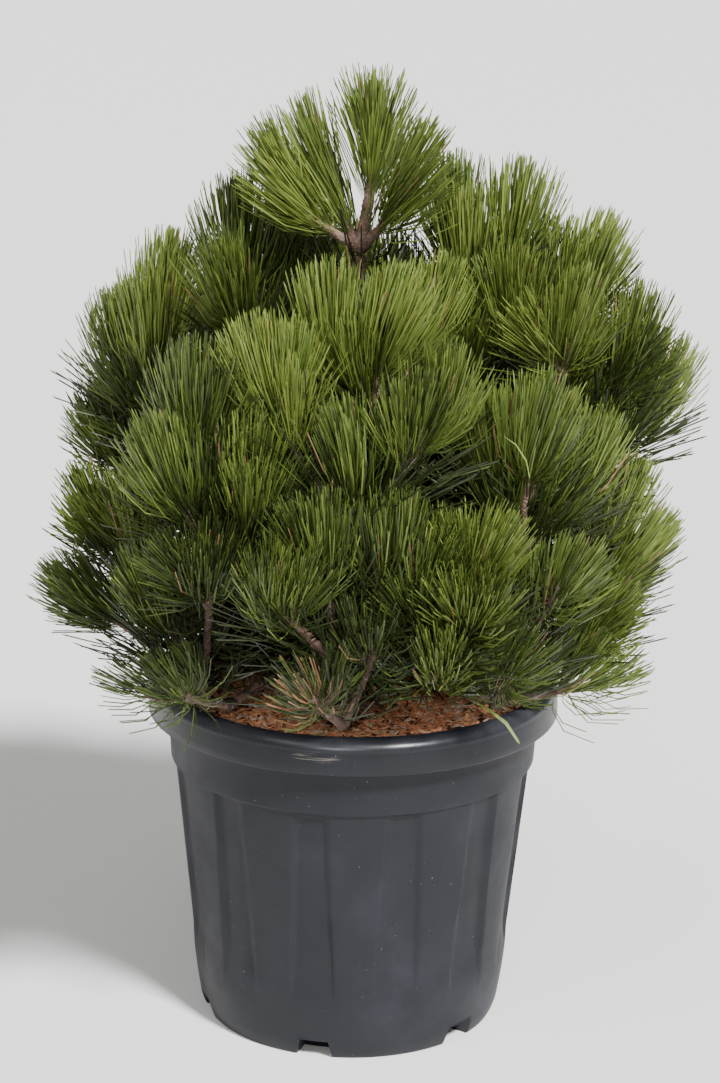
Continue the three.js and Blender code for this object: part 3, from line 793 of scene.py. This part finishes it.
def shoot_curve(mass, shoot, length):
    """The curve of a shoot. It grows on where its needles are short, so that they reach as far."""
    shortfall = NEEDLE_LENGTH - (LOWER_LONGER - TOP_SHORTER) * length
    further = REACH_KEPT * shortfall * unit(shoot["end"] - shoot["bend"])
    return mass["stem_end"], shoot["bend"] + further, shoot["end"] + further


def grow_shoot(grown, mass, order):
    """Adds a shoot's wood, its old needles, its tuft with some dead needles, and its side shoots."""
    shoot = mass["shoots"][order]
    name = mass["name"].removeprefix("back_")
    seed = TWIG_SEED + 10 * mass["index"] + order
    random = np.random.default_rng(seed)
    share, short, tilt, darker = OTHER_SHOOTS.get(name, AS_USUAL)
    length = NEEDLE_LENGTH * short * length_at(shoot["tip"][2])
    curve = shoot_curve(mass, shoot, length)
    radius = TWIG_RADIUS
    zone = TUFT_ZONE
    shape = CURVED
    pairs = share * TUFT_PAIRS
    if name == "top":
        pairs = TOP_PAIRS
        radius, zone, tilt, shape = LEADER if order == 0 else BESIDE_LEADER
    # Twigs of shaded masses take the darker bark as painted shade
    wood = grown["shaded_twigs" if name in SHADED_WOOD else "twigs"]
    wood.append(twig_parts(curve, radius, TWIG_TIP_RADIUS, TWIG_SIDES, TWIG_RINGS, seed))
    glow = brightness(shoot["tip"]) + SHOOT_JITTER * random.normal() - darker
    found = tuft(curve, pairs, length, random, zone, tilt, shape)
    if name != "top":
        olds = old_needles(curve, int(share * OLD_PAIRS), OLD_ZONE, random)
        # Old needles take painted shade on top of their duller green
        grown["sprays"].append((glow - OLD_SHADE_DROP, with_room(olds, old=True)))
    if (mass["name"], order) == DYING_SHOOT:
        dead, found = picked_out(found, DYING_EACH)
        grown["deads"].append(with_room(dead))
    dead, found = picked_out(found, TUFT_DEAD_EACH)
    grown["deads"].append(with_room(dead))
    grown["sprays"].append((glow, with_room(found)))
    for side, side_curve in enumerate(side_shoots(mass, curve, random)):
        side_seed = seed + SIDE_SEED + side
        wood.append(twig_parts(side_curve, SIDE_RADIUS, SIDE_RADIUS, SIDE_SIDES, SIDE_RINGS, side_seed))
        found = tuft(side_curve, share * SIDE_PAIRS, SIDE_NEEDLES * length, random)
        side_glow = glow - SIDE_SHADE + SHOOT_JITTER * random.normal()
        grown["sprays"].append((side_glow, with_room(found)))


def grow(masses):
    """Parts of the twigs, sprays of needles with their brightness, old needles and dead ones."""
    grown = {"twigs": [], "shaded_twigs": [], "sprays": [], "olds": [], "deads": []}
    for mass in masses:
        for order in range(len(mass["shoots"])):
            grow_shoot(grown, mass, order)
        if "bough" in mass:
            random = np.random.default_rng(OLD_SEED + mass["index"])
            found = old_needles(mass["bough"], BOUGH_PAIRS, BOUGH_ZONE, random)
            grown["olds"].append(with_room(found, old=True))
    trunk = [trunk_heart(height) for height in np.linspace(TRUNK_NEEDLES_FROM, TRUNK_TOP, 3)]
    random = np.random.default_rng(TRUNK_NEEDLES_SEED)
    found = old_needles(trunk, TRUNK_PAIRS, (0, 1), random)
    grown["olds"].append(with_room(found, old=True))
    dead, grown["olds"] = picked_out(np.concatenate(grown["olds"]), DEAD_EACH)
    grown["deads"].append(dead)
    return grown


def loose_blades():
    """Fresh blades that fell on the plant, slightly arched."""
    random = np.random.default_rng(LOOSE_SEED)
    found = []
    for root, tip, width in LOOSE_BLADES:
        root, tip = np.array([root]), np.array([tip])
        length = np.linalg.norm(tip - root)
        along = (tip - root) / length
        out = unit(UP - along * along[0, 2])
        rise = math.atan2(LOOSE_RISE, ARCHED["stretches"][0] * length)
        rise, lengths, widths = (np.array([value]) for value in (rise, length, width))
        found.append(blades(root, along, out, rise, lengths, widths, random, ARCHED))
    return np.concatenate(found)


def length_at(height):
    """The share of their full length that needles reach. Lower shoots grow shorter ones."""
    return LENGTH_BELOW + (1 - LENGTH_BELOW) * smooth(*LENGTH_HEIGHTS, height)


def brightness(tip):
    """Higher for shoots that stand high or out to the sides, which the light reaches first."""
    by_side = LIGHT_TO_RIGHT * tip[0] + LIGHT_TO_SIDES * abs(tip[0])
    return LIGHT_CLIMB * (tip[2] - LIGHT_MIDDLE) + by_side


# Materials
def principled(name, colour, roughness, specular=0.5):
    material = bpy.data.materials.new(name)
    material.use_nodes = True
    shader = material.node_tree.nodes["Principled BSDF"]
    shader.inputs["Base Color"].default_value = (*colour, 1)
    shader.inputs["Roughness"].default_value = roughness
    shader.inputs["Specular IOR Level"].default_value = specular
    return material, material.node_tree, shader


def add_node(tree, kind, **inputs):
    """A node whose inputs are each set to a value or linked to a socket."""
    node = tree.nodes.new(kind)
    for name, value in inputs.items():
        if isinstance(value, bpy.types.NodeSocket):
            tree.links.new(value, node.inputs[name])
        else:
            node.inputs[name].default_value = value
    return node


def object_place(tree):
    return add_node(tree, "ShaderNodeTexCoord").outputs["Object"]


def noise(tree, scale, detail=3, roughness=0.55, place=None):
    node = add_node(tree, "ShaderNodeTexNoise", Scale=scale, Detail=detail, Roughness=roughness,
                    Vector=place or object_place(tree))
    return node.outputs["Fac"]


def mapped(tree, **inputs):
    node = add_node(tree, "ShaderNodeMapping", Vector=object_place(tree), **inputs)
    return node.outputs["Vector"]


def streaks(tree, scales, turn):
    """Noise drawn out into lines across its largest scale."""
    place = mapped(tree, Rotation=turn, Scale=scales)
    return noise(tree, scale=1, detail=4, roughness=0.5, place=place)


def ramp(tree, factor, stops):
    node = add_node(tree, "ShaderNodeValToRGB", Fac=factor)
    elements = node.color_ramp.elements
    while len(elements) < len(stops):
        elements.new(0.5)
    for element, (place, colour) in zip(elements, stops):
        element.position = place
        element.color = (*colour, 1)
    return node.outputs["Color"]


def rising(tree, factor, low, high):
    """0 up to one value of the factor and 1 from the other."""
    return ramp(tree, factor, [(low, grey(0)), (high, grey(1))])


def above(tree, low, high):
    """0 under one height of the object and 1 over the other."""
    parts = add_node(tree, "ShaderNodeSeparateXYZ", Vector=object_place(tree))
    return rising(tree, parts.outputs["Z"], low, high)


def near(tree, place, size):
    """1 at a place on the object, falling to 0 at this size around it."""
    middle = [-each / extent for each, extent in zip(place, size)]
    away = mapped(tree, Location=middle, Scale=[1 / extent for extent in size])
    length = add_node(tree, "ShaderNodeVectorMath")
    length.operation = "LENGTH"
    tree.links.new(away, length.inputs[0])
    return ramp(tree, length.outputs["Value"], [(0.6, grey(1)), (1.0, grey(0))])


def multiplied(tree, first, second):
    """The product of a socket and a socket or a number."""
    node = add_node(tree, "ShaderNodeMath")
    node.operation = "MULTIPLY"
    tree.links.new(first, node.inputs[0])
    if isinstance(second, float):
        node.inputs[1].default_value = second
    else:
        tree.links.new(second, node.inputs[1])
    return node.outputs["Value"]


def mixed(tree, factor, first, second, share=None):
    """A colour mix. Each side is a colour or a socket, and share weakens the factor."""
    node = add_node(tree, "ShaderNodeMix")
    node.data_type = "RGBA"
    sockets = [each for each in node.inputs if each.type == "RGBA"]
    for socket, value in zip(sockets, (first, second)):
        if isinstance(value, tuple):
            socket.default_value = (*value, 1)
        else:
            tree.links.new(value, socket)
    if share is not None:
        factor = multiplied(tree, factor, share)
    tree.links.new(factor, node.inputs["Factor"])
    return next(each for each in node.outputs if each.type == "RGBA")


def bump(tree, shader, height, strength, distance):
    node = add_node(tree, "ShaderNodeBump", Strength=strength, Distance=distance, Height=height)
    tree.links.new(node.outputs["Normal"], shader.inputs["Normal"])


def scaled(colour, share):
    return tuple(channel * share for channel in colour)


def grey(level):
    return (level,) * 3


def needle_material(name, colour):
    material, tree, shader = principled(name, colour, roughness=0.42, specular=0.38)
    stops = [(0.35, scaled(colour, 0.85)), (0.5, colour), (0.68, scaled(colour, 1.15))]
    mottle = ramp(tree, noise(tree, scale=55, detail=4), stops)
    tree.links.new(mottle, shader.inputs["Base Color"])
    bump(tree, shader, noise(tree, scale=2600, detail=2), strength=0.25, distance=0.0002)
    return material


def bark_material(name, colour, scale):
    material, tree, shader = principled(name, colour, roughness=0.88, specular=0.25)
    cells = add_node(tree, "ShaderNodeTexVoronoi", Scale=scale, Vector=object_place(tree))
    pale = tuple(0.5 * channel + 0.22 for channel in colour)
    stops = [(0.32, scaled(colour, 0.35)), (0.46, scaled(colour, 0.85)), (0.56, colour), (0.7, pale)]
    patches = ramp(tree, noise(tree, scale=90, detail=6, roughness=0.65), stops)
    tree.links.new(patches, shader.inputs["Base Color"])
    bump(tree, shader, cells.outputs["Distance"], strength=0.8, distance=0.0012)
    return material


def mulch_material(name, colour):
    material, tree, shader = principled(name, colour, roughness=0.9, specular=0.2)
    stops = [(0.3, scaled(colour, 0.35)), (0.5, colour), (0.75, scaled(colour, 1.7))]
    grain = ramp(tree, noise(tree, scale=260, detail=5, roughness=0.7), stops)
    tree.links.new(grain, shader.inputs["Base Color"])
    bump(tree, shader, noise(tree, scale=900), strength=0.7, distance=0.0008)
    return material


def pot_colour(tree, crown):
    """Charcoal under a cloudy film, with dust, scratches, one scuff, and a paler rim top: painted
    reflection of the light from above.
    """
    stops = [(0.3, scaled(CHARCOAL, 0.8)), (0.55, CHARCOAL), (0.8, scaled(CHARCOAL, 1.9))]
    film = ramp(tree, noise(tree, scale=9, detail=5, roughness=0.6), stops)
    specks = rising(tree, noise(tree, scale=300, detail=2), 0.715, 0.75)
    patches = rising(tree, noise(tree, scale=14), 0.5, 0.7)
    dust = mixed(tree, patches, grey(0.004), specks)
    dusty = mixed(tree, dust, film, DUST)
    scratches = rising(tree, streaks(tree, (70, 70, 900), (0.0, 0.5, 0.15)), 0.66, 0.72)
    scratched = mixed(tree, scratches, dusty, SCRATCHED, share=0.35)
    lines = rising(tree, streaks(tree, (30, 30, 1100), (0.0, 0.06, 0.0)), 0.52, 0.62)
    scuff = multiplied(tree, near(tree, SCUFF_PLACE, SCUFF_SIZE), lines)
    scuffed = mixed(tree, scuff, scratched, SCUFFED)
    # The rim's top turns paler: painted reflection
    return mixed(tree, crown, scuffed, RIM_REFLECTION_GREY, share=0.75)


def pot_material():
    material, tree, shader = principled("moulded_charcoal", CHARCOAL, roughness=0.40, specular=0.24)
    crown = above(tree, RIM_SHOULDER, POT_TOP - 0.001)
    tree.links.new(pot_colour(tree, crown), shader.inputs["Base Color"])
    shine = mixed(tree, crown, grey(0.24), grey(0.9))
    tree.links.new(shine, shader.inputs["Specular IOR Level"])
    cloudy = noise(tree, scale=26, detail=6, roughness=0.7)
    matt = ramp(tree, cloudy, [(0.3, grey(0.46)), (0.75, grey(0.62))])
    glossy = ramp(tree, cloudy, [(0.3, grey(0.24)), (0.75, grey(0.38))])
    tree.links.new(mixed(tree, above(tree, *GLOSSY_FROM), matt, glossy), shader.inputs["Roughness"])
    bump(tree, shader, noise(tree, scale=700), strength=0.12, distance=0.0004)
    return material


# Pot
def channel_share(turns, height):
    """1 in the narrow channels and 0 on the wide panels, with soft shoulders between them."""
    step = math.tau / FLUTES
    offset = np.abs((turns - FLUTE_TURN + step / 2) % step - step / 2)
    climb = (height - WAIST) / (COLLAR_FOOT - WAIST)
    radius = WAIST_RADIUS + (BODY_TOP_RADIUS - WAIST_RADIUS) * climb
    half = 0.5 * (FLUTE_FOOT_WIDTH + (FLUTE_TOP_WIDTH - FLUTE_FOOT_WIDTH) * climb)
    return 1 - smooth(-FLUTE_SHOULDER, FLUTE_SHOULDER, offset * radius - half)


def body_radius(heights):
    """Radius of the pot's skin from the ground to its collar, on the panels."""
    toe = FOOT_RADIUS + (HEEL_RADIUS - FOOT_RADIUS) * np.clip(heights / HEEL, 0, 1) ** 0.7
    belly = (WAIST_RADIUS - HEEL_RADIUS) * np.sin(
        0.5 * math.pi * np.clip((heights - HEEL) / (WAIST - HEEL), 0, 1))
    upper = (BODY_TOP_RADIUS - WAIST_RADIUS) * np.maximum(0, (heights - WAIST) / (COLLAR_FOOT - WAIST))
    return toe + belly + upper


def arc(centre, radius, start, end, count):
    turns = np.radians(np.linspace(start, end, count))
    return [(centre[0] + radius * math.cos(t), centre[1] + radius * math.sin(t)) for t in turns]


def upper_rings():
    """Rings of the collar, the skirt, the rim and the lip as (radius, height)."""
    ledge = (COLLAR_FOOT_RADIUS - LEDGE_ROUNDING, COLLAR_FOOT + 0.0004 + LEDGE_ROUNDING)
    rings = arc(ledge, LEDGE_ROUNDING, -90, -15, 4)
    for height in np.linspace(COLLAR_FOOT + 2.4 * LEDGE_ROUNDING, 0.333, 8):
        share = (height - COLLAR_FOOT) / (RIM_SHOULDER - COLLAR_FOOT)
        rings.append((COLLAR_FOOT_RADIUS + (COLLAR_TOP_RADIUS - COLLAR_FOOT_RADIUS) * share, height))
    inside = RIM_RADIUS - RIM_WALL
    rings += [
        (COLLAR_TOP_RADIUS + 0.003, 0.3405), (inside - 0.006, 0.3425), (inside - 0.001, 0.338),
        (inside, SKIRT_FOOT + 0.001), (inside + 0.0006, SKIRT_FOOT),
        (RIM_RADIUS - 0.0006, SKIRT_FOOT), (RIM_RADIUS, SKIRT_FOOT + 0.001),
        (RIM_RADIUS - 0.0002, 0.327), (RIM_RADIUS - 0.0006, 0.336),
    ]
    crown = (RIM_RADIUS - RIM_ROUNDING - ROUNDING_INSET, POT_TOP - RIM_ROUNDING)
    rings += arc(crown, RIM_ROUNDING, 8, 90, 10)
    lip = (LIP_RADIUS + LIP_ROUNDING + ROUNDING_INSET, POT_TOP - LIP_ROUNDING)
    rings += arc(lip, LIP_ROUNDING, 95, 180, 7)
    return rings + [(LIP_RADIUS + 0.0004, 0.343), (LIP_RADIUS - 0.002, 0.325)]


def notch_offsets(turns):
    """Each column's angle from the middle of its nearest notch."""
    step = math.tau / NOTCHES
    return (turns - NOTCH_TURN + step / 2) % step - step / 2


def pot_turns():
    """Angles of the pot's columns, with a pair close together at each side of each notch."""
    turns = list(np.linspace(-math.pi, math.pi, POT_COLUMNS, endpoint=False))
    half = 0.5 * NOTCH_WIDTH / FOOT_RADIUS
    for notch in range(NOTCHES):
        middle = NOTCH_TURN + math.tau * notch / NOTCHES
        for side in (-half, half):
            edge = (middle + side + math.pi) % math.tau - math.pi
            turns = [turn for turn in turns if abs(turn - edge) > NOTCH_CLEAR]
            turns += [edge - NOTCH_EDGE, edge + NOTCH_EDGE]
    return np.array(sorted(turns))


def pot_piece(material):
    turns = pot_turns()
    offsets = notch_offsets(turns)
    cut = np.abs(offsets) * FOOT_RADIUS < 0.5 * NOTCH_WIDTH
    layers = []

    def layer(radii, heights, raised=False):
        around = turns - np.where(raised, NOTCH_TAPER * offsets, 0)
        layers.append(round_axis(radii, around, heights + 0 * around))

    foot_inside = FOOT_RADIUS - NOTCH_DEPTH
    layer(PINHOLE, 0.0)
    layer(foot_inside, 0.0)
    layer(foot_inside + 0.0005, np.where(cut, NOTCH_HEIGHT, 0.0), cut)
    for height in FOOT_HEIGHTS:
        heights = np.where(cut, np.maximum(height, NOTCH_HEIGHT), height)
        layer(body_radius(heights) - (FOOT_CHAMFER if height == 0 else 0), heights, cut)
    for height in np.concatenate((np.linspace(*WALL_RINGS), np.linspace(*LEDGE_RINGS))):
        channel = channel_share(turns, height)
        dip = COLLAR_DIP * channel * smooth(COLLAR_FOOT - DIP_REACH, COLLAR_FOOT, height)
        fade = smooth(*FLUTE_FADE, height)
        layer(body_radius(height) - FLUTE_DEPTH * channel * fade, height - dip)
    for radius, height in upper_rings():
        layer(radius, height)
    faces = ring_faces(len(layers), len(turns)).reshape(-1, 4)
    return mesh_piece("pot_shell", np.concatenate(layers), faces, material, "pot_plastic")


# Mulch
def soil_height(radii):
    return SOIL_TOP + (SOIL_EDGE - SOIL_TOP) * smooth(SOIL_LEVEL, SOIL_RADIUS, radii)


def soil_piece(material):
    radii = np.linspace(PINHOLE, SOIL_RADIUS, SOIL_RINGS)
    turns = np.linspace(0, math.tau, SOIL_COLUMNS, endpoint=False)
    radii, turns = np.meshgrid(radii, turns, indexing="ij")
    points = round_axis(radii, turns, soil_height(radii) - SOIL_SINK)
    points[..., 2] += sum(height * ripple(points, size, seed) for height, size, seed in SOIL_BUMPS)
    faces = ring_faces(SOIL_RINGS, SOIL_COLUMNS)[..., [0, 3, 2, 1]].reshape(-1, 4)
    return mesh_piece("potting_mix", points.reshape(-1, 3), faces, material, "mulch")


SHRED_FACES = np.array([
    (0, 2, 1), (0, 3, 2), (4, 5, 6), (4, 6, 7), (0, 1, 5), (0, 5, 4),
    (1, 2, 6), (1, 6, 5), (2, 3, 7), (2, 7, 6), (3, 0, 4), (3, 4, 7),
])


def shreds(count, size, seed):
    """Shreds of bark that lie about on the soil."""
    random = np.random.default_rng(seed)
    length, width, thickness = size
    radii = SOIL_RADIUS * np.sqrt(random.uniform(*SHRED_AREA, count))
    turns = random.uniform(0, math.tau, count)
    lie = random.uniform(0, math.tau, count)
    tip = random.normal(0, SHRED_TILT, count)
    lengths = length * random.uniform(*SHRED_LENGTHS, count)
    widths = width * random.uniform(*SHRED_WIDTHS, count)
    heights = soil_height(radii) + random.uniform(0, SHRED_PILE, count)
    centres = round_axis(radii, turns, heights)
    along = np.stack((np.cos(lie) * np.cos(tip), np.sin(lie) * np.cos(tip), np.sin(tip)), axis=1)
    across = unit(np.stack((-np.sin(lie), np.cos(lie), random.normal(0, SHRED_ROLL, count)), axis=1))
    thick = unit(np.cross(along, across))
    corners = []
    for level in (-0.5, 0.5):
        for u, v in ((-0.5, -0.5), (0.5, -0.5), (0.5, 0.5), (-0.5, 0.5)):
            jitter = random.uniform(*SHRED_CORNERS, (count, 2))
            corner = centres + along * (u * lengths * jitter[:, 0])[:, None]
            corner = corner + across * (v * widths * jitter[:, 1])[:, None]
            corners.append(corner + thick * level * thickness)
    vertices = np.stack(corners, axis=1)
    reach = np.hypot(vertices[..., 0], vertices[..., 1]).max(axis=1)
    vertices = vertices[reach < SOIL_RADIUS + SHRED_OVER]
    faces = SHRED_FACES[None] + 8 * np.arange(len(vertices))[:, None, None]
    return vertices.reshape(-1, 3), faces.reshape(-1, 3)


# Pieces
def needle_piece(name, groups, material, nodes):
    """One piece from groups of needles, each with its own number of rings."""
    parts = []
    for found in groups:
        points = found.shape[1]
        faces = blade_faces((points - 2) // 3)[None] + points * np.arange(len(found))[:, None, None]
        parts.append((found.reshape(-1, 3), faces.reshape(-1, 3)))
    piece = mesh_piece(name, *join(parts), material, "needles", smooth_faces=False)
    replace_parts(piece, *nodes)


def dealt_out(sprays):
    """Deals the sprays' needles out to the tints, from shaded sprays to bright ones."""
    random = np.random.default_rng(TINT_SEED)
    scores = [glow + TINT_JITTER * random.normal(size=len(found)) for glow, found in sprays]
    limits = np.quantile(np.concatenate(scores), np.linspace(0, 1, len(NEEDLE_TINTS) + 1)[1:-1])
    groups = [{} for _ in NEEDLE_TINTS]
    for (_, found), score in zip(sprays, scores):
        tints = np.searchsorted(limits, score)
        for tint, group in enumerate(groups):
            group.setdefault(found.shape[1], []).append(found[tints == tint])
    return [[np.concatenate(found) for found in group.values()] for group in groups]


def make_plant():
    masses = plan_masses()
    needle_nodes = [f"needles_{mass['name']}" for mass in masses]
    bough_nodes = [f"bough_{mass['name']}" for mass in masses if "bough" in mass]
    grown = grow(masses)
    bark = bark_material("scaly_bark", BARK, BARK_SCALE)
    trunk = mesh_piece("trunk_bark", *trunk_parts(), bark, "bark")
    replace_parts(trunk, "trunk")
    boughs = join([bough_parts(mass) for mass in masses if "bough" in mass])
    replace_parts(mesh_piece("bough_bark", *boughs, bark, "bark"), *bough_nodes)
    twig_bark = bark_material("twig_bark", TWIG_BARK, TWIG_SCALE)
    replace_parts(mesh_piece("twig_bark", *join(grown["twigs"]), twig_bark, "bark"), *needle_nodes)
    shaded_bark = bark_material("shaded_bark", SHADED_BARK, TWIG_SCALE)
    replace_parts(mesh_piece("shaded_twig_bark", *join(grown["shaded_twigs"]), shaded_bark, "bark"), *needle_nodes)
    kinds = list(zip(NEEDLE_TINTS, dealt_out(grown["sprays"])))
    kinds += [(OLD_AND_SHADE_TINT, [grown["olds"]]), (DEAD_TINT, grown["deads"]), (LOOSE_TINT, [loose_blades()])]
    for (name, colour), groups in kinds:
        needle_piece(name, groups, needle_material(name, colour), needle_nodes)


def make_pot():
    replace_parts(pot_piece(pot_material()), "pot")
    soil = soil_piece(mulch_material("potting_mix", POTTING_MIX))
    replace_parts(soil, "soil")
    for name, colour, count, size, seed in MULCH:
        vertices, faces = shreds(count, size, seed)
        mesh_piece(name, vertices, faces, mulch_material(name, colour), "mulch", smooth_faces=False)


# Stage
def make_floor():
    material, _, _ = principled("pale_floor", FLOOR_COLOUR, roughness=0.6)
    mesh = bpy.data.meshes.new("floor")
    corners = [(x * FLOOR_REACH, y * FLOOR_REACH, 0) for x, y in ((-1, -1), (1, -1), (1, 1), (-1, 1))]
    mesh.from_pydata(corners, [], [(0, 1, 2, 3)])
    floor = new_object("floor", mesh)
    mesh.materials.append(material)


def make_sky():
    world = bpy.data.worlds.new("soft_sky")
    bpy.context.scene.world = world
    world.use_nodes = True
    background = world.node_tree.nodes["Background"]
    background.inputs["Color"].default_value = (*SKY_COLOUR, 1)
    background.inputs["Strength"].default_value = SKY_STRENGTH


def make_suns():
    for name, turn, lift, power, spread in SUNS:
        lamp = bpy.data.lights.new(name, "SUN")
        lamp.energy = power
        lamp.angle = math.radians(spread)
        holder = new_object(name, lamp)
        side = math.radians(turn)
        high = math.radians(lift)
        level = math.cos(high)
        away = Vector((-math.sin(side) * level, -math.cos(side) * level, math.sin(high)))
        holder.rotation_euler = away.to_track_quat("Z", "Y").to_euler()


def make_camera():
    data = bpy.data.cameras.new("camera")
    data.lens = CAMERA_LENS
    data.sensor_width = CAMERA_SENSOR
    data.sensor_fit = "AUTO"
    camera = new_object("camera", data)
    tilt = Euler((math.pi / 2 - CAMERA_PITCH, 0, 0)).to_matrix()
    turned = tilt @ Matrix.Rotation(CAMERA_ROLL, 3, "Z")
    camera.matrix_world = Matrix.Translation(CAMERA_PLACE) @ turned.to_4x4()
    bpy.context.scene.camera = camera


make_camera()
make_floor()
make_sky()
make_suns()
make_pot()
make_plant()
